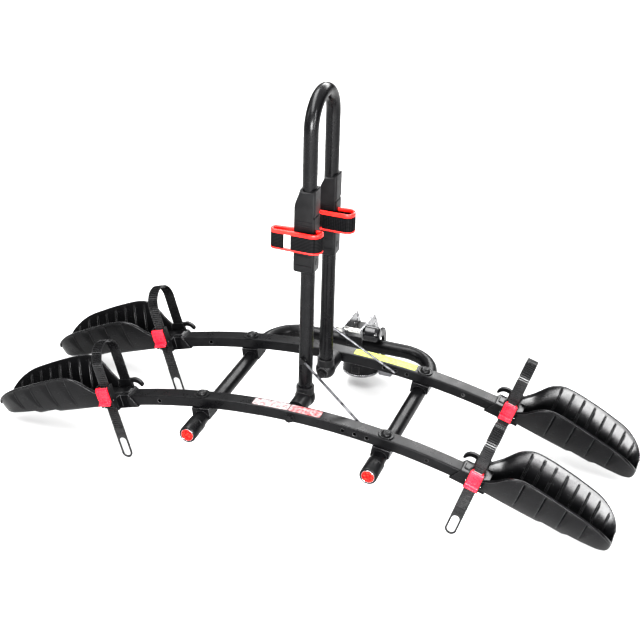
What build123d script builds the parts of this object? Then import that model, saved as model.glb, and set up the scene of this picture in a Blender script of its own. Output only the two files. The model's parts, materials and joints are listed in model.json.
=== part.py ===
from build123d import *
import os
from math import atan2, cos, pi, radians, sin

# Two-bike platform rack for a tow ball. Millimetres, +Z up, +Y towards the car, +X along the wheel rails.
# The origin is the centre of the tow ball that the rack clamps to.

# --- driving dimensions ---
ball_r = 25.0                 # standard 50 mm tow ball
rack_y = -320.0               # middle of the rack, seen from the ball
rail_top = 122.0              # top of the rails at the middle of the rack
rail_arc = 1430.0             # radius of the rails' top face
rail_offset = 137.5           # each rail's centre from the middle of the rack
rail_width = 34.0
rail_height = 24.0
rail_wall = 2.0
rail_end = 435.0              # arc length from the middle to each end
side_hole_r = 4.0
side_holes = (-305.0, 118.0, 145.0, 172.0, 305.0)
stay_hole = 145.0             # the side hole that the stay reaches

tube_r = 16.0                 # round base frame
tube_wall = 2.0
tube_x = 200.0                # each arm of the base frame from the middle
tube_drop = 60.7              # axis of the base frame below the rails' top
tube_bend = 85.0
arm_front = -542.0            # front end of the base frame's arms
bar_y = -40.0                 # axis of the closed bar at the car side
bolt_r = 4.0
insert_r = 5.5                # threaded inserts in the frame's upper wall

mast_r = 15.0
mast_wall = 1.8
mast_y = 63.7                 # each mast leg from the middle of the rack
mast_top = 652.7              # centre line of the hoop's top above the rails' top
pivot_drop = 14.0             # mast pivot below the rails' top
pivot_r = 5.0
running = 0.06                # radial clearance of a turning or sliding fit
washer_y = 117.5              # inner face of the thrust washers, from the middle of the rack
stay_r = 2.75
stay_top = 85.0               # stay pivot above the rails' top
stay_y = 82.5                 # stay eye from the middle of the rack
stay_foot_y = 114.0           # stay's lower end from the middle of the rack
stay_gap = 0.4                # between the stay's tip and the rail

cradle_bottom = {"front": 289.0, "rear": 272.0}  # frame holders above the rails' top
cradle_tall = 185.0
cradle_reach = {"front": (-27.0, 18.0), "rear": (-21.0, 18.0)}   # holders along X
cradle_half = 18.0            # half depth of a holder along Y
cradle_taper = (11.0, 38.0)   # how far and over what height the top's left edge leans in
loop_bottom = {"front": 340.0, "rear": 336.0}    # rubber loops above the rails' top
loop_tall = 44.0
loop_reach = {"front": (-70.0, 32.0), "rear": (-32.0, 57.0)}     # loops along X
loop_window = {"front": (-44.0, -27.0), "rear": (-25.0, -6.0)}
loop_near = 29.5              # near side of a loop, in front of the mast leg
loop_far = {"front": (13.0, 4.0), "rear": (8.0, -2.0)}  # far side at the left and right ends
loop_corner = {"front": (7.5, 18.0, 6.0, 7.5), "rear": (8.5, 10.0, 8.5, 8.5)}   # from the near left end
loop_wall = 3.0
loop_low_rim = 4.0            # plain rims above and below the band
loop_top_rim = 8.0

strap_wide = 25.0
strap_thick = 3.0
strap_u = -15.0               # middle of the strap along the tray
strap_near = -45.0            # strap's near leg, beside the rail's centre
strap_far = 36.0
strap_rise = 86.0             # where the strap's round top starts
strap_tail = -136.0
tray_wall = 3.0
tray_start = 425.0            # arc length at which each tray's own frame sits
lever_pin = (-51.0, 38.0)     # buckle lever's pin, beside and above the rail's centre
pawl_pin = (-52.5, 10.0)

cup_r = 43.0
cup_low = -30.0
cup_high = 30.0
cheek_x = 22.0                # middle of each chromed cheek plate
cheek_thick = 5.0
shaft_r = 6.0
shaft_at = (-52.0, 97.0)      # clamp shaft, in Y and Z
saddle_top = 86.0             # block between the cheek plates, on the frame's closed bar

nodes = {}
tube_z = rail_top - tube_drop
bolt_arc = rail_arc * atan2(tube_x, rail_arc - tube_drop)
rail_y = {"front": rack_y - rail_offset, "rear": rack_y + rail_offset}
outward = {"front": -1, "rear": 1}


# --- small makers ---
def bar(r, a, b):
    """Round bar of radius r from point a to point b."""
    start = Vector(a)
    axis = Vector(b) - start
    plane = Plane(origin=start, z_dir=axis)
    return plane * Cylinder(r, axis.length, align=(Align.CENTER, Align.CENTER, Align.MIN))


def block(x0, x1, y0, y1, z0, z1):
    return Pos((x0 + x1) / 2, (y0 + y1) / 2, (z0 + z1) / 2) * Box(x1 - x0, y1 - y0, z1 - z0)


def side_slab(points, y0, y1):
    """Outline in X and Z, between two Y values."""
    face = make_face(Polyline(*[(x, 0, z) for x, z in points], close=True))
    return Pos(0, y0, 0) * extrude(face, amount=y1 - y0, dir=(0, 1, 0))


def end_slab(points, x0, x1):
    """Outline in Y and Z, between two X values."""
    face = make_face(Polyline(*[(0, y, z) for y, z in points], close=True))
    return Pos(x0, 0, 0) * extrude(face, amount=x1 - x0, dir=(1, 0, 0))


def hex_prism(across, thick):
    return extrude(RegularPolygon(across / 2, 6, major_radius=False), thick)


def on_rail(s, y=0.0):
    """Frame on the rail's top face at arc length s: x outward along it, z square to it."""
    a = s / rail_arc
    origin = (rail_arc * sin(a), y, rail_top - rail_arc + rail_arc * cos(a))
    return Plane(origin=origin, x_dir=(cos(a), 0, -sin(a)), z_dir=(sin(a), 0, cos(a)))


# --- rails ---
def arc_beam(width, top_drop, bottom_drop, end):
    """Solid beam along the rail's arc, between two depths below its top face."""
    centre = rail_top - rail_arc
    turn = end / rail_arc

    def at(drop, a):
        return ((rail_arc - drop) * sin(a), 0, centre + (rail_arc - drop) * cos(a))

    upper = ThreePointArc(at(top_drop, -turn), at(top_drop, 0), at(top_drop, turn))
    lower = ThreePointArc(at(bottom_drop, turn), at(bottom_drop, 0), at(bottom_drop, -turn))
    face = make_face([upper, Line(upper @ 1, lower @ 0), lower, Line(lower @ 1, upper @ 0)])
    return Pos(0, -width / 2, 0) * extrude(face, amount=width, dir=(0, 1, 0))


rail_block = arc_beam(rail_width, 0, rail_height, rail_end)


def make_rail():
    outer = fillet(rail_block.edges().filter_by(GeomType.CIRCLE), 3.0)
    body = outer - arc_beam(rail_width - 2 * rail_wall, rail_wall, rail_height - rail_wall, rail_end + 5)
    for s in (-bolt_arc, bolt_arc):
        body -= on_rail(s) * Cylinder(bolt_r + 0.2, 80)
    for s in side_holes:
        body -= on_rail(s) * Pos(0, 0, -rail_height / 2) * Rot(90, 0, 0) * Cylinder(side_hole_r, 60)
    body -= Pos(0, 0, rail_top - pivot_drop) * Rot(90, 0, 0) * Cylinder(pivot_r + 0.1, 60)
    return body


one_rail = make_rail()
for where, y in rail_y.items():
    nodes[f"{where}_rail"] = Pos(0, y, 0) * one_rail


# --- round base frame, its caps and reflectors ---
def frame_path():
    reach = tube_x - tube_bend
    side = bar_y - tube_bend
    arc = tube_bend * (1 - cos(pi / 4))
    left = Line((-tube_x, arm_front, tube_z), (-tube_x, side, tube_z))
    turn_l = ThreePointArc(left @ 1, (-tube_x + arc, bar_y - arc, tube_z), (-reach, bar_y, tube_z))
    back = Line(turn_l @ 1, (reach, bar_y, tube_z))
    turn_r = ThreePointArc(back @ 1, (tube_x - arc, bar_y - arc, tube_z), (tube_x, side, tube_z))
    right = Line(turn_r @ 1, (tube_x, arm_front, tube_z))
    return Wire([left, turn_l, back, turn_r, right])


path = frame_path()
tube_block = sweep(Plane(origin=path @ 0, z_dir=path % 0) * Circle(tube_r), path=path)
tube_bore = sweep(Plane(origin=path @ 0, z_dir=path % 0) * Circle(tube_r - tube_wall), path=path)


def at_bolts(shape):
    """The same shape at the four crossings of rails and frame, in the rail's own frame."""
    return [on_rail(s, y) * shape for s in (-bolt_arc, bolt_arc) for y in rail_y.values()]


def group(shapes):
    return Compound(children=[s for shape in shapes for s in shape.solids()])


frame_tube = tube_block - tube_bore
axis_drop = rail_arc - (rail_arc - tube_drop) / cos(bolt_arc / rail_arc)
insert = Pos(0, 0, -axis_drop) * Cylinder(insert_r, tube_r + 6, align=(Align.CENTER, Align.CENTER, Align.MIN))
for hole in at_bolts(insert):
    frame_tube -= hole
nodes["base_frame"] = frame_tube

saddle_tall = 32.0            # before the rail and the tube are taken out of it
saddle = Pos(0, 0, -rail_height - saddle_tall / 2) * Box(40, 40, saddle_tall)
saddle -= Cylinder(bolt_r + 0.2, 160)
saddles = [s - Pos(0, y, 0) * rail_block - tube_block
           for s, y in zip(at_bolts(saddle), list(rail_y.values()) * 2)]
nodes["rail_saddles"] = group([s - block(-300, 300, -600, 0, -100, tube_z) for s in saddles])

washer_r = 17.0
washer = Cylinder(washer_r, 2.5, align=(Align.CENTER, Align.CENTER, Align.MIN)) - Cylinder(bolt_r, 20)
nodes["bolt_washers"] = group(at_bolts(washer))

shank_long = axis_drop - 2    # ends inside the frame tube
dome = Pos(0, 0, -2.5) * (Sphere(11) & block(-12, 12, -12, 12, 5, 12))
bolt = dome + Pos(0, 0, 2.5 - shank_long / 2) * Cylinder(bolt_r, shank_long)
nodes["rail_bolts"] = group(at_bolts(bolt))
nodes["frame_rivet_nuts"] = group([n & tube_block for n in at_bolts(insert - Cylinder(bolt_r, 200))])

cap_r = 18.5
cap_front = arm_front - 9
lens_r = 16.0
caps, lenses = [], []
for x in (-tube_x, tube_x):
    shell = bar(cap_r, (x, arm_front + 44, tube_z), (x, cap_front, tube_z))
    shell = fillet(shell.edges().sort_by(Axis.Y)[0], 1.2)
    shell -= bar(tube_r, (x, arm_front + 60, tube_z), (x, arm_front, tube_z))
    shell -= bar(lens_r, (x, cap_front + 4, tube_z), (x, cap_front - 5, tube_z))
    caps.append(shell)
    lens = bar(lens_r, (x, cap_front + 4, tube_z), (x, cap_front - 1.5, tube_z))
    lenses.append(fillet(lens.edges().sort_by(Axis.Y)[0], 1.2))
nodes["frame_end_caps"] = group(caps)
nodes["rear_reflectors"] = group(lenses)


# --- folding mast ---
pivot_z = rail_top - pivot_drop


def mast_path():
    bend = rail_top + mast_top - mast_y
    foot = rail_top - 4
    y0, y1 = rack_y - mast_y, rack_y + mast_y
    up = Line((0, y0, foot), (0, y0, bend))
    over = ThreePointArc(up @ 1, (0, rack_y, bend + mast_y), (0, y1, bend))
    down = Line(over @ 1, (0, y1, foot))
    return Wire([up, over, down])


route = mast_path()
hoop = sweep(Plane(origin=route @ 0, z_dir=route % 0) * Circle(mast_r), path=route)
hoop -= sweep(Plane(origin=route @ 0, z_dir=route % 0) * Circle(mast_r - mast_wall), path=route)
stay_z = rail_top + stay_top
hoop -= bar(3.0, (0, rack_y - 90, stay_z), (0, rack_y - mast_y, stay_z))
hoop -= bar(3.0, (0, rack_y + mast_y, stay_z), (0, rack_y + 90, stay_z))
nodes["mast_hoop"] = hoop

knuckle_r = 19.0
pivot_bolts, pivot_nuts, thrust_washers, studs = [], [], [], []
for where, side in outward.items():
    leg = rack_y + side * mast_y
    inner = rack_y + side * 41
    face = rack_y + side * (washer_y - 0.3)
    rail_in = rack_y + side * (rail_offset - rail_width / 2)
    rail_out = rack_y + side * (rail_offset + rail_width / 2)
    knuckle = bar(knuckle_r, (0, leg, pivot_z), (0, leg, rail_top + 14))
    knuckle += bar(knuckle_r, (0, leg, pivot_z), (0, face, pivot_z))
    knuckle += Pos(0, leg, pivot_z) * Sphere(knuckle_r + 3)
    knuckle += bar(12, (0, leg, pivot_z), (0, inner, pivot_z))
    knuckle -= bar(mast_r, (0, leg, rail_top - 4), (0, leg, rail_top + 40))
    knuckle -= bar(pivot_r + running, (0, inner - side * 5, pivot_z), (0, face + side * 5, pivot_z))
    nodes[f"{where}_knuckle"] = knuckle

    head = bar(10, (0, rail_out, pivot_z), (0, rail_out + side * 2.5, pivot_z))
    head += bar(7.5, (0, rail_out + side * 2.5, pivot_z), (0, rail_out + side * 8, pivot_z))
    tip = inner - side * 10
    pivot_bolts.append(head + bar(pivot_r, (0, rail_out, pivot_z), (0, tip, pivot_z)))
    nut_plane = Plane(origin=(0, inner - side * 0.3, pivot_z), z_dir=(0, -side, 0))
    pivot_nuts.append(nut_plane * hex_prism(16, 8) - bar(pivot_r, (0, inner, pivot_z), (0, tip, pivot_z)))
    ring = bar(14, (0, rack_y + side * washer_y, pivot_z), (0, rail_in, pivot_z))
    thrust_washers.append(ring - bar(pivot_r, (0, leg, pivot_z), (0, rail_out, pivot_z)))

    shoulder = rack_y + side * (stay_y + 4.8)
    stud = bar(3.0, (0, rack_y + side * (mast_y + 11), stay_z), (0, shoulder, stay_z))
    studs.append(stud + bar(6.0, (0, shoulder, stay_z), (0, shoulder + side * 2.2, stay_z)))

    eye_y = rack_y + side * stay_y
    foot_y = rack_y + side * stay_foot_y
    hole = on_rail(stay_hole).from_local_coords(Vector(0, 0, -rail_height / 2))
    foot = Vector(hole.X, foot_y, hole.Z)
    eye = bar(6.5, (0, eye_y - side * 2.8, stay_z), (0, eye_y + side * 2.8, stay_z))
    rod = eye + bar(stay_r, (0, eye_y, stay_z), foot) + Pos(foot) * Sphere(stay_r)
    rod += bar(stay_r, foot, (foot.X, rail_in - side * stay_gap, foot.Z))
    rod -= bar(3.0 + running, (0, eye_y - side * 20, stay_z), (0, eye_y + side * 20, stay_z))
    nodes[f"{where}_stay"] = rod
nodes["pivot_bolts"] = group(pivot_bolts)
nodes["pivot_nuts"] = group(pivot_nuts)
nodes["thrust_washers"] = group(thrust_washers)
nodes["stay_studs"] = group(studs)


# --- bike frame holders on the mast ---
def loop_face(where, leg, out):
    """Plan of a loop that ends on both sides of its holder, grown outward by out."""
    x0, x1 = loop_reach[where]
    far0, far1 = loop_far[where]
    corners = [(x0, leg - loop_near), (x1, leg - loop_near), (x1, leg - far1), (x0, leg - far0)]
    face = make_face(FilletPolyline(*corners, radius=list(loop_corner[where]), close=True))
    return offset(face, out) if out else face


def loop_band(where, leg, out, wall, z0, z1):
    """Upright wall of the loop, its outer face grown outward by out."""
    ring = loop_face(where, leg, out) - offset(loop_face(where, leg, out), -wall)
    return Pos(0, 0, z0) * extrude(ring, z1 - z0)


def outer_block(outline, leg):
    """The holder without its bore."""
    return side_slab(outline, leg - cradle_half, leg + cradle_half)


for where, side in outward.items():
    leg = rack_y + side * mast_y
    low = rail_top + cradle_bottom[where]
    high = low + cradle_tall
    x0, x1 = cradle_reach[where]
    lean, over = cradle_taper
    outline = [(x0, low), (x1, low), (x1, high), (x0 + lean, high), (x0, high - over)]
    body = side_slab(outline, leg - cradle_half, leg + cradle_half)
    body = fillet(body.edges().filter_by(Axis.Z), 2.5)
    body -= bar(mast_r + running, (0, leg, low - 5), (0, leg, high + 5))
    body -= block(x1 - 1.5, x1 + 2, leg - 30, leg + 30, low + 124, low + 130)
    nodes[f"{where}_frame_holder"] = body

    z0 = rail_top + loop_bottom[where]
    z1 = z0 + loop_tall
    loop = loop_band(where, leg, 0, loop_wall, z0, z1)
    collar = loop_band(where, leg, loop_wall, loop_wall, z0, z1)
    sleeve = extrude(loop_face(where, leg, 5 * loop_wall), z1 - z0 - loop_low_rim - loop_top_rim)
    middle = Pos(0, 0, z0 + loop_low_rim) * sleeve
    wx0, wx1 = loop_window[where]
    front_y = leg - loop_near
    window = block(wx0, wx1, front_y - 10, front_y + 5, z0 + loop_low_rim, z1 - loop_top_rim)
    if where == "front":      # on its free side this loop is open behind, below its top rim
        bend = loop_reach[where][0] + loop_corner[where][0]
        window += block(bend, x0, front_y + 7, leg, z0 - 1, z1 - loop_top_rim)
    window += outer_block(outline, leg)
    nodes[f"{where}_rubber_loop"] = loop + (collar - middle) - window
    nodes[f"{where}_loop_band"] = (collar & middle) - window


# --- wheel trays, straps and ratchet buckles, each in its own frame at the rail's end ---
def tray_section(u, top, floor, low):
    """Scoop cross-section at distance u: flared sides on a narrow floor."""
    mid = floor + 0.72 * (top - floor)
    points = [(floor, low), (mid, low + 34), (top, 84), (-top, 84), (-mid, low + 34), (-floor, low)]
    return make_face(Polyline(*[(u, v, n) for v, n in points], close=True))


tray_sections = [(0, 41, 22, -26), (30, 50, 23, -26), (65, 55, 24, -26), (140, 56, 25, -26),
                 (220, 54, 24, -26), (256, 48, 21, -25), (284, 36, 15, -21)]
rim_line = [(-1, 14), (20, 32), (42, 57), (62, 69), (85, 72), (140, 66), (190, 57),
            (226, 49), (250, 39), (269, 26), (285, 6)]


def make_tray():
    outer = loft([tray_section(*s) for s in tray_sections], ruled=True)
    inner = [(u, t - tray_wall, f - tray_wall, w + tray_wall) for u, t, f, w in tray_sections]
    inner[0] = (-1.0,) + inner[0][1:]
    inner[-1] = (tray_sections[-1][0] - tray_wall,) + inner[-1][1:]
    scoop = outer - loft([tray_section(*s) for s in inner], ruled=True)
    above = side_slab(rim_line + [(300, 6), (300, 120), (-20, 120), (-20, 14)], -80, 80)
    scoop -= above
    sleeve = side_slab([(-66, -28), (16, -28), (16, 4), (-48, 4)], -21, 21)
    near_ear = block(-28, -2, -40, -20, -22, 6)
    far_ear = block(-28, -2, 20, 31, -22, 2)
    return scoop + sleeve + near_ear + far_ear


def strap_slot(thick):
    """Space of the strap's round loop and its far leg, seen along the tray."""
    r = (strap_far - strap_near) / 2
    centre = (strap_far + strap_near) / 2
    ring = Circle(r + thick / 2) - Circle(r - thick / 2)
    ring -= Pos(0, -r) * Rectangle(4 * r, 2 * r)
    for v, bottom in ((-r, strap_tail), (r, -8.0)):
        tall = strap_rise - bottom
        ring += Pos(v, -tall / 2) * Rectangle(thick, tall)
    face = Plane.YZ * Pos(centre, strap_rise) * ring
    return Pos(strap_u - strap_wide / 2, 0, 0) * extrude(face, amount=strap_wide, dir=(1, 0, 0))


def make_strap():
    body = strap_slot(strap_thick)
    half = strap_wide / 2
    corner = block(strap_u - half, strap_u + half, -60, -30, strap_tail - 1, strap_tail + half)
    corner -= bar(half, (strap_u, -70, strap_tail + half), (strap_u, -20, strap_tail + half))
    window = block(strap_u - 8.5, strap_u + 8.5, -60, -30, strap_tail + half, strap_tail + 41)
    window += bar(8.5, (strap_u, -60, strap_tail + half), (strap_u, -30, strap_tail + half))
    window += bar(8.5, (strap_u, -60, strap_tail + 41), (strap_u, -30, strap_tail + 41))
    return body - corner - window


def make_anchor():
    """Clip at the strap's fixed end, with a curved finger tab that points along the rail."""
    body = block(-30, 0, 31, 40, -18, 16)
    tab = [(-29, 6), (-29, 15), (-41, 16), (-51, 11), (-57, 1), (-53, -5), (-47, 3), (-39, 8)]
    body += side_slab(tab, 31, 40)
    return body - strap_slot(strap_thick)


def make_base():
    strap_front = strap_near + strap_thick / 2
    body = block(-31, 1, strap_front, -40, -12, 44)
    v, n = lever_pin
    for u0 in (-31, -2.4):
        body += block(u0, u0 + 3.4, -57.5, strap_front + 0.5, -6, n)
        body += block(u0, u0 + 3.4, v, strap_front + 0.5, n, n + 6)
        body += bar(6.3, (u0, v, n), (u0 + 3.4, v, n))
    for pin, r in ((lever_pin, 2.0), (pawl_pin, 1.5)):
        body -= bar(r, (-40, *pin), (10, *pin))
    return body


def make_lever():
    v, n = lever_pin
    face = [(-58.5, 44), (-62, 42), (-62, 14), (-69, 6), (-67, 2.5), (-58.5, 9)]
    body = end_slab(face, -29, -1)
    for u0 in (-27.2, -5.8):
        lug = block(u0, u0 + 3, -60, v, n - 3.5, n + 3.5) + bar(3.5, (u0, v, n), (u0 + 3, v, n))
        body += lug
    return body - bar(2.0 + running, (-40, v, n), (10, v, n))


def make_pawl():
    v, n = pawl_pin
    shape = [(-55.6, 16), (-55.6, 8), (-50, 2), (-47.0, 1), (-47.0, 4), (-50, 12), (-53, 18)]
    body = end_slab(shape, -26, -4) + bar(3.0, (-26, v, n), (-4, v, n))
    return body - bar(1.5 + running, (-40, v, n), (10, v, n))


def make_pins():
    ends = (-31.6, 1.6)
    return [bar(r, (ends[0], *pin), (ends[1], *pin)) for pin, r in ((lever_pin, 2.0), (pawl_pin, 1.5))]


def make_tray_bolts():
    out = []
    for u in (-52, -34):
        hexagon = Pos(u, 0, -32.5) * hex_prism(10, 4.5)
        out.append(hexagon + bar(3, (u, 0, -29), (u, 0, -rail_height)))
    return out


tray_block = make_tray()
for screw in make_tray_bolts():
    tray_block -= screw
corner_parts = {"wheel_tray": tray_block, "wheel_strap": make_strap(), "buckle_base": make_base(),
                "buckle_lever": make_lever(), "buckle_pawl": make_pawl()}
loose = {"strap_anchors": [make_anchor()], "buckle_pins": make_pins(), "tray_bolts": make_tray_bolts()}
gathered = {name: [] for name in loose}
place = on_rail(tray_start).location


def at_corner(shape, y, hand):
    """The shape at one end of the rail at y, cut back where the rail passes."""
    placed = Pos(0, y, 0) * place * shape
    if hand == "left":
        placed = mirror(placed, about=Plane.YZ)
    return placed - Pos(0, y, 0) * rail_block


for where, y in rail_y.items():
    for hand in ("left", "right"):
        for name, shape in corner_parts.items():
            nodes[f"{where}_{hand}_{name}"] = at_corner(shape, y, hand)
        for name, shapes in loose.items():
            gathered[name] += [at_corner(shape, y, hand) for shape in shapes]
for name, shapes in gathered.items():
    nodes[name] = group(shapes)


# --- tow ball clamp ---
shaft_y, shaft_z = shaft_at
cheek_line = [(-80, 119), (16, 114), (45, 71), (62, 36), (56, 31), (-18, 31), (-21, 79), (-60, 79), (-78, 106)]
boss_bolts = ((-6, 50), (34, 48))
cheek_in = cheek_x - cheek_thick / 2
cheek_out = cheek_x + cheek_thick / 2


def make_cheek():
    plate = end_slab(cheek_line, cheek_in, cheek_out)
    plate = fillet(plate.edges().filter_by(Axis.X), 3.0)
    plate -= bar(shaft_r, (0, *shaft_at), (60, *shaft_at))
    plate -= bar(5.0, (0, 0, 88), (60, 0, 88))
    slot = bar(3.5, (0, 20, 98), (60, 20, 98)) + bar(3.5, (0, 12, 84), (60, 12, 84))
    slot += end_slab([(17, 99.8), (23, 96.2), (15, 82.2), (9, 85.8)], 0, 60)
    plate -= slot
    for at in boss_bolts:
        plate -= bar(4.0, (0, *at), (60, *at))
    return plate


cheek = make_cheek()
nodes["right_cheek_plate"] = cheek
nodes["left_cheek_plate"] = mirror(cheek, about=Plane.YZ)

nodes["clamp_saddle"] = block(-cheek_in, cheek_in, -60, -20, tube_z, saddle_top) - tube_block

cup = bar(cup_r, (0, 0, cup_low), (0, 0, cup_high))
cup = fillet(cup.edges().filter_by(GeomType.CIRCLE).sort_by(Axis.Z)[-1], 9.0)
cup += block(-cheek_in, cheek_in, -15, 42, cup_high - 10, 70)
cup -= Sphere(ball_r + 0.3)
cup -= bar(ball_r + 0.3, (0, 0, cup_low - 1), (0, 0, 0))
cup -= block(-9.4, 9.4, -cup_r - 5, 0, -22.4, -5.6)
for at in boss_bolts:
    cup -= bar(4.0, (-60, *at), (60, *at))
nodes["ball_cup"] = cup - nodes["right_cheek_plate"] - nodes["left_cheek_plate"]

jaw = block(-9, 9, -cup_r - 1, -15, -22, -6) - Sphere(ball_r + 0.1)
nodes["clamp_jaw"] = jaw

trim = bar(cup_r + 1.5, (0, 0, cup_low - 2), (0, 0, cup_low + 3)) - bar(cup_r, (0, 0, cup_low), (0, 0, cup_low + 9))
nodes["cup_rim"] = trim - bar(ball_r + 4, (0, 0, cup_low - 5), (0, 0, cup_low + 1))

boss_set = []
for at in boss_bolts:
    right = Plane(origin=(cheek_out, *at), z_dir=(1, 0, 0)) * hex_prism(13, 5)
    left = Plane(origin=(-cheek_out, *at), z_dir=(-1, 0, 0)) * hex_prism(13, 6)
    boss_set.append(right + left + bar(4.0, (-cheek_out - 8, *at), (cheek_out + 5, *at)))
nodes["cup_bolts"] = group(boss_set)

shaft_head = bar(9.5, (-cheek_out, *shaft_at), (-48, *shaft_at))
shaft_head = fillet(shaft_head.edges().filter_by(GeomType.CIRCLE).sort_by(Axis.X)[0], 5.0)
nodes["clamp_shaft"] = shaft_head + bar(shaft_r, (-cheek_out - 1, *shaft_at), (cheek_out + 18, *shaft_at))

hub = bar(19.0, (cheek_out + 0.5, *shaft_at), (60, *shaft_at))
hub = fillet(hub.edges().filter_by(GeomType.CIRCLE).sort_by(Axis.X)[-1], 12.0)
hub -= bar(shaft_r + running, (0, *shaft_at), (cheek_out + 18.3, *shaft_at))
nodes["lever_hub"] = hub
arm_x = (49, 56)
arm_line = [(-52, 105), (-4, 93), (10, 72), (10, -22), (-6, -22), (-6, 66), (-14, 78), (-50, 87)]
arm = end_slab(arm_line, *arm_x)
nodes["lever_arm"] = arm - hub - bar(shaft_r + 6, (0, *shaft_at), (48, *shaft_at))
grip = block(46.5, 80, -14, 17, -33, 6)
grip = fillet(grip.edges(), 5.0)
nodes["lever_grip"] = grip - arm


# --- write one file per node ---
os.makedirs("parts", exist_ok=True)
for name, shape in nodes.items():
    export_step(shape, f"parts/{name}.step")
print(len(nodes), "nodes")
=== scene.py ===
import json
import math

import bmesh
import bpy
from mathutils import Matrix, Vector


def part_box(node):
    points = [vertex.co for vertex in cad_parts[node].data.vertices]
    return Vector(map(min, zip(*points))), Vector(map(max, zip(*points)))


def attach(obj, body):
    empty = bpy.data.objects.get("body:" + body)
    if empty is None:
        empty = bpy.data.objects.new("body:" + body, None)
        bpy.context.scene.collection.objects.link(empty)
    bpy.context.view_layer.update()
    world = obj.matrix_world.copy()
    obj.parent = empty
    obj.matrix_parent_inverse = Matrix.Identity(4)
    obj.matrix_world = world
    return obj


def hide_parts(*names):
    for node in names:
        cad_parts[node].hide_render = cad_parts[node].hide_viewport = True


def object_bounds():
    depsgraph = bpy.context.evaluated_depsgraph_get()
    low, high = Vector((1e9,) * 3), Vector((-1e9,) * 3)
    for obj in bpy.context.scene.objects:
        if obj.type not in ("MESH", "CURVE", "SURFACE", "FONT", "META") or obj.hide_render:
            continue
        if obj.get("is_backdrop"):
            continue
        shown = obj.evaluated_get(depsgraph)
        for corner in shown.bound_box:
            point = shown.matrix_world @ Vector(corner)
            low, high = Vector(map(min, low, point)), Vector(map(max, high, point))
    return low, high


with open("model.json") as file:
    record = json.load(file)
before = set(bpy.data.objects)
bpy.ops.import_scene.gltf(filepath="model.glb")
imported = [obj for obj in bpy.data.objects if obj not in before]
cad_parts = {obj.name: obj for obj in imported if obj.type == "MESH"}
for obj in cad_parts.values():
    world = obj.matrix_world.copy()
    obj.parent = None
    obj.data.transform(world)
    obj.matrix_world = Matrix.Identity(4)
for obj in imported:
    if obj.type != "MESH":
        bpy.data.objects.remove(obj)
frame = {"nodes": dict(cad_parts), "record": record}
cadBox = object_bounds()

mm = 0.001
scene = bpy.context.scene
hands = {"left": -1, "right": 1}
rows = ("front", "rear")


# finishes
def node(tree, kind, settings=None, **sockets):
    made = tree.nodes.new(kind)
    for key, value in (settings or {}).items():
        setattr(made, key, value)
    for key, value in sockets.items():
        made.inputs[key.replace("_", " ")].default_value = value
    return made


def noiseOn(tree, scale, detail=3.0, stretch=(1, 1, 1)):
    coords = node(tree, "ShaderNodeTexCoord")
    place = node(tree, "ShaderNodeMapping", Scale=stretch)
    noise = node(tree, "ShaderNodeTexNoise", Scale=scale, Detail=detail, Roughness=0.55)
    tree.links.new(coords.outputs["Object"], place.inputs["Vector"])
    tree.links.new(place.outputs["Vector"], noise.inputs["Vector"])
    return noise.outputs["Fac"]


def remap(tree, value, fromLow, fromHigh, toLow, toHigh):
    made = node(tree, "ShaderNodeMapRange")
    for index, number in enumerate((fromLow, fromHigh, toLow, toHigh)):
        made.inputs[index + 1].default_value = number
    tree.links.new(value, made.inputs[0])
    return made.outputs[0]


def mixColour(tree, amount, first, second):
    made = node(tree, "ShaderNodeMix", {"data_type": "RGBA"})
    tree.links.new(amount, made.inputs[0])
    for socket, colour in ((made.inputs[6], first), (made.inputs[7], second)):
        if isinstance(colour, tuple):
            socket.default_value = (*colour, 1)
        else:
            tree.links.new(colour, socket)
    return made.outputs[2]


def combine(tree, kind, first, second):
    made = node(tree, "ShaderNodeMath", {"operation": kind})
    for socket, value in zip(made.inputs, (first, second)):
        if isinstance(value, (int, float)):
            socket.default_value = value
        else:
            tree.links.new(value, socket)
    return made.outputs[0]


# spread, turn, patches and patchRange shape the painted edge highlight; marks stretches the rubbed gloss
# marks
edgeSheenAndRub = {"spread": 1.6, "turn": (0.99, 0.86), "patches": 60, "patchRange": (0.42, 0.6, 0.25, 1),
        "marks": (1, 1, 7)}


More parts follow.
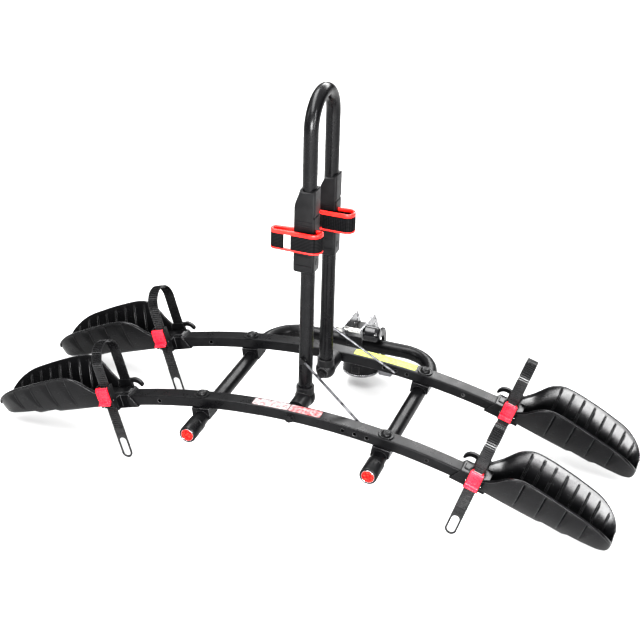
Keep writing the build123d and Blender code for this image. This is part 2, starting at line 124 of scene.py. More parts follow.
def makeFinish(name, colour, other, rough, bumps, mottle=35, metal=0.0, coat=0.0, coatRough=0.1,
               specular=0.22, rub=None, edgeRadius=0.0, paintedEdgeHighlight=None):
    mat = bpy.data.materials.new(name)
    mat.use_nodes = True
    tree = mat.node_tree
    shader = tree.nodes["Principled BSDF"]
    shader.inputs["Metallic"].default_value = metal
    shader.inputs["Coat Weight"].default_value = coat
    shader.inputs["Coat Roughness"].default_value = coatRough
    shader.inputs["Specular IOR Level"].default_value = specular
    cloud = noiseOn(tree, mottle, 4.0)
    tint = mixColour(tree, remap(tree, cloud, 0.35, 0.65, 0, 1), colour, other)
    fine = noiseOn(tree, mottle * 9, 3.0)
    both = combine(tree, "ADD", combine(tree, "MULTIPLY", cloud, 0.6), combine(tree, "MULTIPLY", fine, 0.4))
    gloss = remap(tree, both, 0.36, 0.62, rough[0], rough[1])
    normal = None
    if edgeRadius:                    # softened edges, with a painted highlight along them broken into patches
        soft = node(tree, "ShaderNodeBevel", {"samples": 4}, Radius=edgeRadius)
        normal = soft.outputs["Normal"]
        if paintedEdgeHighlight:
            # the pale edge colour is a painted highlight, laid where the wide bevel bends the normal
            wide = node(tree, "ShaderNodeBevel", {"samples": 4}, Radius=edgeRadius * edgeSheenAndRub["spread"])
            flat = node(tree, "ShaderNodeNewGeometry")
            turn = node(tree, "ShaderNodeVectorMath", {"operation": "DOT_PRODUCT"})
            tree.links.new(wide.outputs["Normal"], turn.inputs[0])
            tree.links.new(flat.outputs["Normal"], turn.inputs[1])
            litEdge = remap(tree, turn.outputs["Value"], *edgeSheenAndRub["turn"], 0, 1)
            highlightPatches = remap(tree, noiseOn(tree, edgeSheenAndRub["patches"], 4.0), *edgeSheenAndRub["patchRange"])
            tint = mixColour(tree, combine(tree, "MULTIPLY", litEdge, highlightPatches), tint, paintedEdgeHighlight)
    if rub:                           # fine rubbed marks
        marks = remap(tree, noiseOn(tree, rub[0], 6.0, edgeSheenAndRub["marks"]), 0.58, 0.66, 0, rub[1])
        gloss = combine(tree, "ADD", gloss, marks)
    for scale, depth, strength in bumps:
        grain = noiseOn(tree, scale, 2.0)
        bump = node(tree, "ShaderNodeBump", Strength=strength, Distance=depth)
        tree.links.new(grain, bump.inputs["Height"])
        if normal:
            tree.links.new(normal, bump.inputs["Normal"])
        normal = bump.outputs["Normal"]
    tree.links.new(tint, shader.inputs["Base Color"])
    tree.links.new(gloss, shader.inputs["Roughness"])
    tree.links.new(normal, shader.inputs["Normal"])
    return mat


# the pale edge colours in these settings are painted highlights along the edges
finishSettings = {
    "frame_paint": dict(colour=(0.004, 0.004, 0.0045), other=(0.007, 0.007, 0.0075), rough=(0.25, 0.36),
                        bumps=[(650, 0.00010, 0.30)], edgeRadius=0.0014, paintedEdgeHighlight=(0.13, 0.13, 0.132),
                        rub=(90, 0.08), specular=0.20),
    "mast_paint": dict(colour=(0.004, 0.004, 0.0045), other=(0.006, 0.006, 0.0065), rough=(0.22, 0.29),
                       bumps=[(700, 0.00005, 0.2)], specular=0.26),
    "cast_black": dict(colour=(0.005, 0.005, 0.0055), other=(0.009, 0.009, 0.0095), rough=(0.28, 0.42),
                       bumps=[(900, 0.00012, 0.5), (220, 0.0002, 0.25)], edgeRadius=0.0012,
                       paintedEdgeHighlight=(0.10, 0.10, 0.10)),
    "fastener_black": dict(colour=(0.008, 0.008, 0.0085), other=(0.016, 0.016, 0.0165), rough=(0.24, 0.36),
                           bumps=[(1200, 0.00006, 0.4)], metal=0.2, mottle=80),
    "fastener_zinc": dict(colour=(0.55, 0.55, 0.54), other=(0.66, 0.65, 0.62), rough=(0.2, 0.36),
                          bumps=[(1400, 0.00005, 0.4)], metal=1.0, mottle=120, edgeRadius=0.0006),
    "chrome_plate": dict(colour=(0.12, 0.12, 0.125), other=(0.30, 0.30, 0.31), rough=(0.16, 0.32),
                         bumps=[(160, 0.0003, 0.15)], metal=1.0, mottle=90, rub=(140, 0.2), edgeRadius=0.0012,
                         paintedEdgeHighlight=(0.7, 0.7, 0.7)),
    "cap_plastic": dict(colour=(0.005, 0.005, 0.0055), other=(0.008, 0.008, 0.0085), rough=(0.26, 0.38),
                        bumps=[(1100, 0.0001, 0.35)]),
    "stay_steel": dict(colour=(0.05, 0.05, 0.055), other=(0.16, 0.16, 0.165), rough=(0.22, 0.36),
                       bumps=[(1500, 0.00005, 0.4)], metal=1.0, mottle=90),
    "holder_plastic": dict(colour=(0.007, 0.007, 0.0075), other=(0.011, 0.011, 0.0115), rough=(0.32, 0.44),
                           bumps=[(1500, 0.00012, 0.5)], rub=(60, 0.1)),
    "rubber_red": dict(colour=(0.72, 0.012, 0.010), other=(0.80, 0.025, 0.018), rough=(0.28, 0.42),
                       bumps=[(900, 0.0001, 0.3)], specular=0.45),
    "tray_plastic": dict(colour=(0.004, 0.004, 0.0045), other=(0.006, 0.006, 0.0065), rough=(0.17, 0.25),
                         bumps=[(1300, 0.00010, 0.20)], rub=(80, 0.06), specular=0.24,
                         edgeRadius=0.0014, paintedEdgeHighlight=(0.06, 0.06, 0.061)),
    "strap_plastic": dict(colour=(0.007, 0.007, 0.0075), other=(0.012, 0.012, 0.0125), rough=(0.22, 0.32),
                          bumps=[(1400, 0.00008, 0.3)], specular=0.45),
    "buckle_plastic": dict(colour=(0.005, 0.005, 0.0055), other=(0.009, 0.009, 0.0095), rough=(0.28, 0.40),
                           bumps=[(1500, 0.0001, 0.4)], edgeRadius=0.0006, paintedEdgeHighlight=(0.05, 0.05, 0.05)),
    "lever_red": dict(colour=(0.74, 0.012, 0.030), other=(0.82, 0.030, 0.050), rough=(0.22, 0.34),
                      bumps=[(1000, 0.00008, 0.3)], coat=0.3, coatRough=0.15),
    "hub_plastic": dict(colour=(0.006, 0.006, 0.007), other=(0.010, 0.010, 0.011), rough=(0.16, 0.26),
                        bumps=[(500, 0.00008, 0.25)], coat=0.4, coatRough=0.1, edgeRadius=0.001),
    "grip_grey": dict(colour=(0.10, 0.10, 0.105), other=(0.14, 0.14, 0.145), rough=(0.42, 0.55),
                      bumps=[(1300, 0.0002, 0.5)], edgeRadius=0.001),
}
finishes = {name: makeFinish(name, **settings) for name, settings in finishSettings.items()}


weaving = (("Z", 620.0), ("X", 520.0), ("Y", 520.0))      # threads per direction


def makeWebbing():
    mat = bpy.data.materials.new("band_webbing")
    mat.use_nodes = True
    tree = mat.node_tree
    shader = tree.nodes["Principled BSDF"]
    shader.inputs["Specular IOR Level"].default_value = 0.12
    coords = node(tree, "ShaderNodeTexCoord")
    waves = []
    for direction, scale in weaving:
        wave = node(tree, "ShaderNodeTexWave", {"bands_direction": direction}, Scale=scale / 6.28,
                    Distortion=0.3)
        tree.links.new(coords.outputs["Object"], wave.inputs["Vector"])
        waves.append(wave.outputs["Fac"])
    along = combine(tree, "MAXIMUM", waves[1], waves[2])
    weave = combine(tree, "MULTIPLY", waves[0], along)
    tint = mixColour(tree, weave, (0.001, 0.001, 0.0015), (0.014, 0.014, 0.0145))
    bump = node(tree, "ShaderNodeBump", Strength=0.8, Distance=0.0005)
    tree.links.new(weave, bump.inputs["Height"])
    tree.links.new(tint, shader.inputs["Base Color"])
    tree.links.new(remap(tree, weave, 0, 1, 0.85, 0.6), shader.inputs["Roughness"])
    tree.links.new(bump.outputs["Normal"], shader.inputs["Normal"])
    return mat


def makeReflector():
    mat = bpy.data.materials.new("reflector_red")
    mat.use_nodes = True
    tree = mat.node_tree
    shader = tree.nodes["Principled BSDF"]
    shader.inputs["Specular IOR Level"].default_value = 0.18
    coords = node(tree, "ShaderNodeTexCoord")
    cells = node(tree, "ShaderNodeTexVoronoi", Scale=260.0)
    tree.links.new(coords.outputs["Object"], cells.inputs["Vector"])
    # each cell is painted brighter toward its centre, a painted glint; the same mask also raises the cells in
    # the bump
    cellGlint = remap(tree, cells.outputs["Distance"], 0.1, 0.6, 1, 0)
    tint = mixColour(tree, cellGlint, (0.34, 0.002, 0.004), (0.86, 0.05, 0.03))
    tree.links.new(tint, shader.inputs["Base Color"])
    tree.links.new(remap(tree, noiseOn(tree, 200), 0.3, 0.7, 0.12, 0.24), shader.inputs["Roughness"])
    bump = node(tree, "ShaderNodeBump", Strength=0.5, Distance=0.0004)
    tree.links.new(cellGlint, bump.inputs["Height"])
    tree.links.new(bump.outputs["Normal"], shader.inputs["Normal"])
    return mat


finishes["band_webbing"] = makeWebbing()
finishes["reflector_red"] = makeReflector()
for name, plain, second in (("label_white", (0.36, 0.33, 0.33), (0.14, 0.07, 0.07)),
                            ("label_red", (0.22, 0.02, 0.025), (0.34, 0.26, 0.26)),
                            ("label_yellow", (0.34, 0.38, 0.02), (0.46, 0.50, 0.10))):
    finishes[name] = makeFinish(name, plain, second, (0.3, 0.42), [(700, 0.00005, 0.3)], mottle=140)
print("finishes:", len(finishes))


# shapes: each maker returns (points, faces)
def lerp(a, b, t):
    return a + (b - a) * t


def table(rowsOfPairs, x):
    if x <= rowsOfPairs[0][0]:
        return rowsOfPairs[0][1]
    for (x0, y0), (x1, y1) in zip(rowsOfPairs, rowsOfPairs[1:]):
        if x <= x1:
            return lerp(y0, y1, (x - x0) / (x1 - x0))
    return rowsOfPairs[-1][1]


def easedTable(rowsOfPairs, x):
    last = len(rowsOfPairs) - 1
    k = 0
    while k < last - 1 and x > rowsOfPairs[k + 1][0]:
        k += 1
    (x1, y1), (x2, y2) = rowsOfPairs[k], rowsOfPairs[k + 1]
    x0, y0 = rowsOfPairs[max(k - 1, 0)]
    x3, y3 = rowsOfPairs[min(k + 2, last)]
    slopeA = (y2 - y0) / (x2 - x0)
    slopeB = (y3 - y1) / (x3 - x1)
    wide = x2 - x1
    t = min(max((x - x1) / wide, 0.0), 1.0)
    a = 2 * t ** 3 - 3 * t ** 2 + 1
    b = t ** 3 - 2 * t ** 2 + t
    c = -2 * t ** 3 + 3 * t ** 2
    d = t ** 3 - t ** 2
    return a * y1 + b * wide * slopeA + c * y2 + d * wide * slopeB


def smoothStep(a, b, x):
    t = min(max((x - a) / (b - a), 0.0), 1.0)
    return t * t * (3 - 2 * t)


def skin(rings):
    points = [p for ring in rings for p in ring]
    n = len(rings[0])
    faces = []
    for k in range(len(rings) - 1):
        a, b = k * n, (k + 1) * n
        for j in range(n):
            i = (j + 1) % n
            faces.append((a + j, a + i, b + i, b + j))
    faces.append(tuple(range(n))[::-1])
    faces.append(tuple(range(len(points) - n, len(points))))
    return points, faces


def inMm(pairs):
    return [(a * mm, b * mm) for a, b in pairs]


def arcPoints(radius, centreA, centreB, start, turn, steps):
    angles = [start + turn * k / steps for k in range(steps + 1)]
    return [(centreA + radius * math.cos(a), centreB + radius * math.sin(a)) for a in angles]


def prism(outline, low, high, place):
    return skin([[place(a, b, low) for a, b in outline], [place(a, b, high) for a, b in outline]])


def roundedRect(halfX, halfY, corner, steps=6):
    points = []
    for k, (sx, sy) in enumerate(((1, 1), (-1, 1), (-1, -1), (1, -1))):
        for j in range(steps + 1):
            a = math.radians(90 * k + 90 * j / steps)
            points.append((sx * (halfX - corner) + corner * math.cos(a),
                           sy * (halfY - corner) + corner * math.sin(a)))
    return points


def lathe(profile, centre, axis, steps=56, shape=None):
    turn = Vector(axis).normalized().to_track_quat("Z", "Y")
    rings = []
    for r, h in profile:
        ring = []
        for j in range(steps):
            a = 2 * math.pi * j / steps
            reach = shape(r, a) if shape else r
            ring.append(Vector(centre) + turn @ Vector((reach * math.cos(a), reach * math.sin(a), h)))
        rings.append(ring)
    return skin(rings)


def flatPlate(outlines, thick, bevel, place):
    data = bpy.data.curves.new("cutting", "CURVE")
    data.dimensions = "2D"
    data.fill_mode = "BOTH"
    data.extrude = thick / 2 - bevel
    data.bevel_depth = bevel
    data.bevel_resolution = 3
    data.offset = -bevel
    for outline in outlines:
        spline = data.splines.new("POLY")
        spline.points.add(len(outline) - 1)
        for point, (a, b) in zip(spline.points, outline):
            point.co = (a, b, 0, 1)
        spline.use_cyclic_u = True
    cutter = bpy.data.objects.new("cutting", data)
    scene.collection.objects.link(cutter)
    mesh = bpy.data.meshes.new_from_object(cutter.evaluated_get(bpy.context.evaluated_depsgraph_get()))
    points = [place @ v.co for v in mesh.vertices]
    faces = [tuple(p.vertices) for p in mesh.polygons]
    bpy.data.objects.remove(cutter)
    bpy.data.curves.remove(data)
    bpy.data.meshes.remove(mesh)
    return points, faces


def hexGrid(radius, pitch):
    out = []
    for row in range(-12, 13):
        for col in range(-12, 13):
            a = (col + 0.5 * (row % 2)) * pitch
            b = row * pitch * 0.866          # rows of a hexagonal grid
            if math.hypot(a, b) < radius - pitch * 0.5:
                out.append((a, b))
    return out


def makePiece(name, parts, body, slotName, replaced=(), bevel=0.0, segments=2, smooth=32, finish=None):
    points, faces = [], []
    for partPoints, partFaces in parts:
        shift = len(points)
        points += [tuple(p) for p in partPoints]
        faces += [tuple(i + shift for i in face) for face in partFaces]
    mesh = bpy.data.meshes.new(name)
    mesh.from_pydata(points, [], faces)
    bm = bmesh.new()
    bm.from_mesh(mesh)
    bmesh.ops.remove_doubles(bm, verts=bm.verts, dist=2e-6)
    bmesh.ops.recalc_face_normals(bm, faces=bm.faces)
    bm.to_mesh(mesh)
    bm.free()
    for polygon in mesh.polygons:
        polygon.use_smooth = True
    mesh.set_sharp_from_angle(angle=math.radians(smooth))
    piece = bpy.data.objects.new(name, mesh)
    scene.collection.objects.link(piece)
    if bevel:
        cut = piece.modifiers.new("edges", "BEVEL")
        cut.width = bevel
        cut.segments = segments
        cut.limit_method = "ANGLE"
        cut.angle_limit = math.radians(28)
        cut.harden_normals = True
    mesh.materials.append(finishes[finish or slotName])
    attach(piece, body)
    if replaced:
        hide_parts(*replaced)
    return piece


# where things stand
rail = {"arc": 1430 * mm, "trayStart": 425 * mm}
railY = {row: sum(v.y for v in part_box(row + "_rail")) / 2 for row in rows}
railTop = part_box("front_rail")[1].z


def onRail(s, y, hand=1):
    a = s / rail["arc"]
    out = Vector((math.cos(a) * hand, 0, -math.sin(a)))
    up = Vector((math.sin(a) * hand, 0, math.cos(a)))
    origin = Vector((rail["arc"] * math.sin(a) * hand, y, railTop - rail["arc"] + rail["arc"] * math.cos(a)))
    across = Vector((0, 1, 0))
    return Matrix(((out.x, across.x, up.x, origin.x), (out.y, across.y, up.y, origin.y),
                   (out.z, across.z, up.z, origin.z), (0, 0, 0, 1)))


corners = {(row, hand): onRail(rail["trayStart"], railY[row], sign)
           for row in rows for hand, sign in hands.items()}


def placer(matrix, order="uvn"):
    # u runs outward, v across and n square to the rail's top; order says how the numbers come in
    spots = [order.index(axis) for axis in "uvn"]

    def at(*numbers):
        return matrix @ Vector([numbers[k] * mm for k in spots])

    return at


# wheel trays
tray = {
    "halfTop": [(0, 41), (30, 50), (65, 55), (140, 56), (220, 54), (250, 49.5), (268, 44), (278, 38),
                (282, 34), (284, 30)],
    "halfFloor": [(0, 22), (30, 23), (65, 24), (140, 25), (220, 24), (250, 22), (268, 19), (278, 15),
                  (282, 12), (284, 9)],
    "low": [(0, -20), (50, -20.5), (132, -24), (141, -18.5), (187, -25), (197, -19.0), (262, -23.5),
            (277, -22), (281, -19), (284, -13)],
    "rim": [(-1, 14), (20, 32), (42, 57), (62, 69), (85, 72), (140, 66), (190, 57), (226, 49), (250, 39),
            (268, 27), (278, 17), (284, 7)],
    "floor": [(0, -17), (262, -18), (275, -15), (284, -8)],
    "levels": (-26, 84),     # the heights between which the sides flare
    "curve": 2.4,
    "nose": (277.5, 281.5),  # where the two walls close round the end
    "lip": 3.6,              # rolled rim
    "lipEnds": (280, 284),
    "wall": 3.0,
    "lean": 1.12,            # the inner wall slopes almost evenly from the floor to the rim
    "rows": 15,              # points up each wall
    "step": 2.5,             # sections along the tray
    "noseMarks": (280.0, 281.5, 282.5, 283.3, 283.8, 284.0),
    "closest": 0.18,
}
gill = {
    "at": (76, 124, 172, 220), "foot": -4.0, "belowRim": 12, "shortest": 8, "fadeTo": 1.12, "deep": 6.6,
    "wide": (4, 17), "lip": 1.6, "lipWide": 3.2, "marks": (-3.2, -2.2, -1.1, -0.25, 0.05, 1.0, 4.0, 8.0),
}
rib = {
    "at": (69, 96.5, 123, 150, 178, 204, 230, 257), "high": 4.2, "half": 2.6, "margin": 9, "shortest": 8,
    "pocket": 2.6, "pocketHalf": 6.5, "pocketTop": (4, 9), "marks": (-2.6, -2.1, -1.2, 0.0, 1.2, 2.1, 2.6),
}


def trayHalf(u, n):
    low, high = tray["levels"]
    x = min(max((n - low) / (high - low), 0.0), 1.0)
    floor = easedTable(tray["halfFloor"], u)
    return floor + (easedTable(tray["halfTop"], u) - floor) * (1 - (1 - x) ** tray["curve"])


def gillPush(u, n, rim):
    bottom, top = gill["foot"], rim - gill["belowRim"]
    if top - bottom < gill["shortest"]:
        return 0.0
    q = (n - bottom) / (top - bottom)
    if q <= 0 or q > gill["fadeTo"]:
        return 0.0
    fade = 1 - smoothStep(1.0, gill["fadeTo"], q)
    for g in gill["at"]:
        d = u - g
        wide = gill["wide"][0] + gill["wide"][1] * min(q, 1)
        if 0 <= d <= wide:
            return gill["deep"] * min(q, 1) ** 0.5 * (1 - d / wide) ** 1.2 * fade
        if -gill["lipWide"] < d < 0:
            return -gill["lip"] * math.cos(d / gill["lipWide"] * math.pi / 2) * fade
    return 0.0


def ribRise(u, n, rim, floor):
    start, stop = floor + rib["margin"], rim - rib["margin"]
    if stop - start < rib["shortest"]:
        return 0.0
    ends = smoothStep(start - 3, start + 2, n) * (1 - smoothStep(stop - 3, stop, n))
    rise = 0.0
    pocketLow, pocketHigh = rib["pocketTop"]
    for r in rib["at"]:
        d = u - r
        if abs(d) < rib["half"]:
            rise += rib["high"] * math.cos(d / rib["half"] * math.pi / 2) ** 0.6
        if rib["half"] < abs(d) < rib["pocketHalf"] and n < start + pocketHigh:
            rise -= rib["pocket"] * (1 - smoothStep(start + pocketLow, start + pocketHigh, n))
    return rise * ends


def traySection(u):
    rim = easedTable(tray["rim"], u)
    low = table(tray["low"], u)
    floorIn = table(tray["floor"], u)
    shut = smoothStep(*tray["nose"], u)
    edge = trayHalf(u, rim)
    lip = tray["lip"] * (1 - smoothStep(*tray["lipEnds"], u))
    foot = easedTable(tray["halfFloor"], u)
    last = tray["rows"] - 1
    outside = [(foot - 4, low), (foot - 0.8, low + 0.8)]
    base = low + 3.2
    for k in range(tray["rows"]):
        n = lerp(base, rim - 5, k / last)
        outside.append((trayHalf(u, n) - gillPush(u, n, rim), n))
    outside += [(edge + lip * 0.8, rim - 4.6), (edge + lip, rim - 2.8), (edge + lip * 0.88, rim - 1.2),
                (edge + lip * 0.45, rim - 0.2), (edge - 0.6, rim)]
    inside = [(edge - 2.4, rim - 0.3), (edge - 3.2, rim - 1.8)]
    for k in range(tray["rows"]):
        n = lerp(rim - 4.5, floorIn + 3.0, k / last)
        up = (n - floorIn) / (rim - floorIn)
        slope = lerp(foot - 4.5, edge - tray["wall"], max(up, 0.0) ** tray["lean"])
        flare = trayHalf(u, n) - tray["wall"]
        half = lerp(min(slope, flare), flare, shut) - ribRise(u, n, rim, floorIn)
        inside.append((half, lerp(n, rim - 2.0, shut)))
    level = lerp(floorIn, rim - 2.0, shut)
    inside.append((foot - 4.5, level))
    return ([(-v, n) for v, n in reversed(outside)] + [(0.0, low)] + outside + inside
            + [(0.0, level)] + [(-v, n) for v, n in reversed(inside)])


def trayStations():
    marks = {round(tray["step"] * k, 3) for k in range(112)} | set(tray["noseMarks"])
    for feature in (gill, rib):
        marks |= {place + mark for place in feature["at"] for mark in feature["marks"]}
    kept = []
    for u in sorted(marks):
        if not kept or u - kept[-1] > tray["closest"]:
            kept.append(u)
    return kept


traySections = [(u, traySection(u)) for u in trayStations()]
# the bracket that carries a tray: (outline, from, to) across the rail
bracket = {
    "sleeve": ([(-65, -27.5), (14, -27.5), (14, 4), (-47.5, 4)], -21, 21),
    "ridge": ([(-46, 3), (-2, 3), (-6, 6.2), (-43, 6.2)], -9, 9),
    "nearEar": ([(-28, -22), (-2, -22), (-2, 6), (-28, 6)], -40, -19),
    "farEar": ([(-28, -22), (-2, -22), (-2, 2), (-28, 2)], 19, 31),
    "lower": ([(-60, -28), (-22, -28), (-26, -30.2), (-57, -30.2)], -13, 13),
}


def buildTray(row, hand):
    at = placer(corners[row, hand])
    rings = [[at(u, v, n) for v, n in loop] for u, loop in traySections]
    name = f"{row}_{hand}_tray"
    makePiece(name + "_scoop", [skin(rings)], "frame", "tray_plastic", [f"{row}_{hand}_wheel_tray"],
              smooth=38)
    side = placer(corners[row, hand], "unv")
    blocks = [prism(outline, low, high, side) for outline, low, high in bracket.values()]
    makePiece(name + "_bracket", blocks, "frame", "tray_plastic", bevel=1.8 * mm, segments=3)


# ladder straps and their buckles
strap = {
    "middle": -15.0, "wide": 25.0, "near": -45.0, "far": 36.0, "rise": 86.0,
    "tail": -136.0, "teethFrom": -62.0, "teethTo": 8.0, "farEnd": -8.0, "pitch": 4.8,
    "tooth": [(0, 1.5), (0.52, -0.6), (0.62, -0.6), (0.66, 1.5)],      # saw teeth as shares of the pitch
    "plain": 0.9, "thick": 2.6, "edge": 0.55, "window": 8.5, "windowTall": 41,
    "crimps": (-79.5, -76.0, -66.0),
}


def strapPath():
    radius = (strap["far"] - strap["near"]) / 2
    middle = (strap["far"] + strap["near"]) / 2
    legA = strap["rise"] - strap["teethFrom"]
    arc = math.pi * radius
    legB = strap["rise"] - strap["farEnd"]

    def at(s):
        if s <= legA:
            return strap["near"], strap["teethFrom"] + s, -1.0, 0.0
        if s <= legA + arc:
            a = math.pi - (s - legA) / radius
            across, up = math.cos(a), math.sin(a)
            return middle + radius * across, strap["rise"] + radius * up, across, up
        return strap["far"], strap["rise"] - (s - legA - arc), 1.0, 0.0

    return at, legA + arc + legB, legA + arc + strap["rise"] - strap["teethTo"]


def buildStrap(row, hand):
    at = placer(corners[row, hand])
    path, total, teethEnd = strapPath()
    pitch, middle, near = strap["pitch"], strap["middle"], strap["near"]
    stops = []
    s = 0.0
    while s < teethEnd - pitch:
        stops += [(s + pitch * share, tooth) for share, tooth in strap["tooth"]]
        s += pitch
    while s < total:
        stops.append((s, strap["plain"]))
        s += pitch
    stops.append((total, strap["plain"]))
    half = strap["wide"] / 2
    rings = []
    for s, tooth in stops:
        v, n, ov, on = path(s)
        section = [(-half + 0.5, -1.5), (half - 0.5, -1.5), (half, -1.0), (half, 0.5), (half - 0.4, 0.9),
                   (half - 1.5, 0.9), (half - 1.9, tooth), (-half + 1.9, tooth), (-half + 1.5, 0.9),
                   (-half + 0.4, 0.9), (-half, 0.5), (-half, -1.0)]
        rings.append([at(middle + a, v + ov * t, n + on * t) for a, t in section])
    # the plain tail with its pull window, cut as one plate
    end, top = strap["tail"] + half, strap["tail"] + strap["windowTall"]
    outer = [(-half, strap["teethFrom"] + 0.4), *arcPoints(half, 0, end, math.pi, math.pi, 24),
             (half, strap["teethFrom"] + 0.4)]
    hole = arcPoints(strap["window"], 0, end, math.pi, math.pi, 20)
    hole += arcPoints(strap["window"], 0, top, 0, math.pi, 20)
    upright = Matrix(((1, 0, 0, middle * mm), (0, 0, -1, near * mm), (0, 1, 0, 0), (0, 0, 0, 1)))
    tail = flatPlate([inMm(outer), inMm(hole)], strap["thick"] * mm, strap["edge"] * mm,
                     corners[row, hand] @ upright)
    side = placer(corners[row, hand], "unv")
    left, right = middle - half + 1, middle + half - 1
    crimps = [prism([(left, n), (right, n), (right, n + 1.3), (left, n + 1.3)], near - 1.9, near, side)
              for n in strap["crimps"]]
    makePiece(f"{row}_{hand}_ladder_strap", [skin(rings), tail, *crimps], "frame", "strap_plastic",
              [f"{row}_{hand}_wheel_strap"], smooth=28)


buckle = {
    "leverPin": (-51.0, 38.0), "leverFrom": -29.0, "leverTo": -1.0,
    "leverFace": [(-58.5, 43.4), (-60.6, 43.6), (-62.4, 41), (-63.1, 32), (-63.1, 19), (-62.8, 13.5),
                  (-64.6, 9.6), (-68.8, 6.6), (-69.2, 4.8), (-67.6, 3.2), (-62, 7.2), (-58.5, 10.5)],
    "sideBorder": [(-62.5, 39), (-64.6, 37.5), (-64.8, 18), (-62.5, 14.5)],
    "borders": ([(-62.4, 40.6), (-64.6, 39.6), (-64.8, 34.8), (-62.4, 33.6)],
                [(-62.4, 20), (-64.3, 19), (-64.3, 16.4), (-62.4, 15.4)]),
    "grip": [(-63.2, 12.2), (-66.0, 9.8), (-69.4, 7.0), (-69.0, 5.6), (-63.2, 10.0)],
    "grips": (6.2, 11.1, 16.0, 20.9), "gripWide": 1.6, "inset": 0.6, "borderWide": 4.0,
    "eye": [(0, -3.5), (3.2, -1.4), (3.4, 1), (2.2, 3), (0, 3.5)],      # about the lever's pin
    "eyeBack": -60, "eyes": (-27.2, -5.8), "eyeWide": 3,
    "plate": ([(-43.5, -12), (-40, -12), (-40, 44), (-43.5, 44)], -31, 1),
    "guide": ([(-49.5, -11), (-42, -11), (-42, -7.5), (-49.5, -7.5)], -29.5, -0.5),
    "cheek": [(-57.5, -4), (-56, -6), (-43, -6), (-43, 44), (-50.6, 44)],
    "cheeks": (-31, -2.4), "cheekWide": 3.4, "cheekRound": 6.2,
    "rivet": [(1, 0), (3.6, 0), (4.2, 0.5), (4.0, 1.3), (2.6, 1.7), (1, 1.7)],
    "rivets": ((-30.8, -1), (0.8, 1)),
}


def buildBuckle(row, hand):
    side = placer(corners[row, hand], "vnu")
    low, high, inset = buckle["leverFrom"], buckle["leverTo"], buckle["inset"]
    v, n = buckle["leverPin"]
    parts = [prism(buckle["leverFace"], low, high, side)]
    # raised border and a pressed panel on the face, then grip ridges on the lip
    for a in (low + inset, high - inset - buckle["borderWide"]):
        parts.append(prism(buckle["sideBorder"], a, a + buckle["borderWide"], side))
    parts += [prism(outline, low + inset, high - inset, side) for outline in buckle["borders"]]
    for offset in buckle["grips"]:
        parts.append(prism(buckle["grip"], low + offset, low + offset + buckle["gripWide"], side))
    eye = [(v + a, n + b) for a, b in buckle["eye"]]
    eye = [(buckle["eyeBack"], eye[0][1]), *eye, (buckle["eyeBack"], eye[-1][1])]
    parts += [prism(eye, u, u + buckle["eyeWide"], side) for u in buckle["eyes"]]
    makePiece(f"{row}_{hand}_red_lever", parts, f"{row}_{hand}_buckle_lever", "lever_red",
              [f"{row}_{hand}_buckle_lever"], bevel=0.8 * mm, segments=3)
    # black body: back plate, two cheeks with round tops, a guide for the strap and the pin's two heads
    body = [prism(*buckle["plate"], side)]
    cheek = buckle["cheek"] + arcPoints(buckle["cheekRound"], v, n, math.radians(95), math.radians(85), 5)
    body += [prism(cheek, u, u + buckle["cheekWide"], side) for u in buckle["cheeks"]]
    body.append(prism(*buckle["guide"], side))
    for u, sign in buckle["rivets"]:
        axis = corners[row, hand].to_3x3() @ Vector((sign, 0, 0))
        body.append(lathe(inMm(buckle["rivet"]), side(v, n, u), axis, 28))
    makePiece(f"{row}_{hand}_buckle_frame", body, "frame", "buckle_plastic", [f"{row}_{hand}_buckle_base"],
              bevel=0.7 * mm)


anchor = {
    "tab": [(-27, 6.2), (-27, 15), (-35, 16.2), (-42, 15.8), (-48, 13), (-53, 8.2), (-56.4, 2.4),
            (-56.9, -1.8), (-55.6, -4.4), (-53, -4.6), (-50.2, -1), (-47, 3.2), (-42, 6.4), (-36, 7.2)],
    "plate": [(-30, -18), (0, -18), (0, 13), (-3, 16), (-27, 16), (-30, 13)],
    "levels": (-18, 13), "plates": ((31, 34.3), (37.7, 40)), "sides": ((-30, -27.7), (-2.3, 0)),
    "across": (31, 40), "tabAcross": (31.5, 39.5),
}


def buildAnchors():
    parts = []
    low, high = anchor["levels"]
    for matrix in corners.values():
        side = placer(matrix, "unv")
        parts += [prism(anchor["plate"], near, far, side) for near, far in anchor["plates"]]
        for a, b in anchor["sides"]:
            parts.append(prism([(a, low), (b, low), (b, high), (a, high)], *anchor["across"], side))
        parts.append(prism(anchor["tab"], *anchor["tabAcross"], side))
    makePiece("strap_anchor_clips", parts, "frame", "buckle_plastic", ["strap_anchors"], bevel=0.7 * mm)


for row, hand in corners:
    buildTray(row, hand)
    buildStrap(row, hand)
    buildBuckle(row, hand)
buildAnchors()
print("trays, straps and buckles done")


# frame holders, rubber loops and bands on the mast
holder = {
    "tall": 185, "corner": 5.0, "lean": 11, "leanFrom": 141, "pull": 2.6, "pullOver": 3.5,
    "notch": (124, 130), "notchDeep": 1.5, "notchBand": 3, "dish": 9.0, "dishFrom": 150, "dishTo": 183,
    "dishHalf": 17, "dishBehind": 0.4,
    "boss": [(1, 0), (7, 0), (7, 1.2), (6.2, 2), (1, 2)], "bossIn": 1.4, "bossUp": 22,
    "ribs": (14, 36, 104, 112), "ribTall": 3.2, "ribOut": 0.9, "ribIn": 3,
    "levels": (0, 0.5, 1.6, 3.5, 30, 60, 90, 118, 123.8, 124, 130, 130.2, 142, 147, 152, 158, 165, 172, 178,
               182, 184, 185),
}


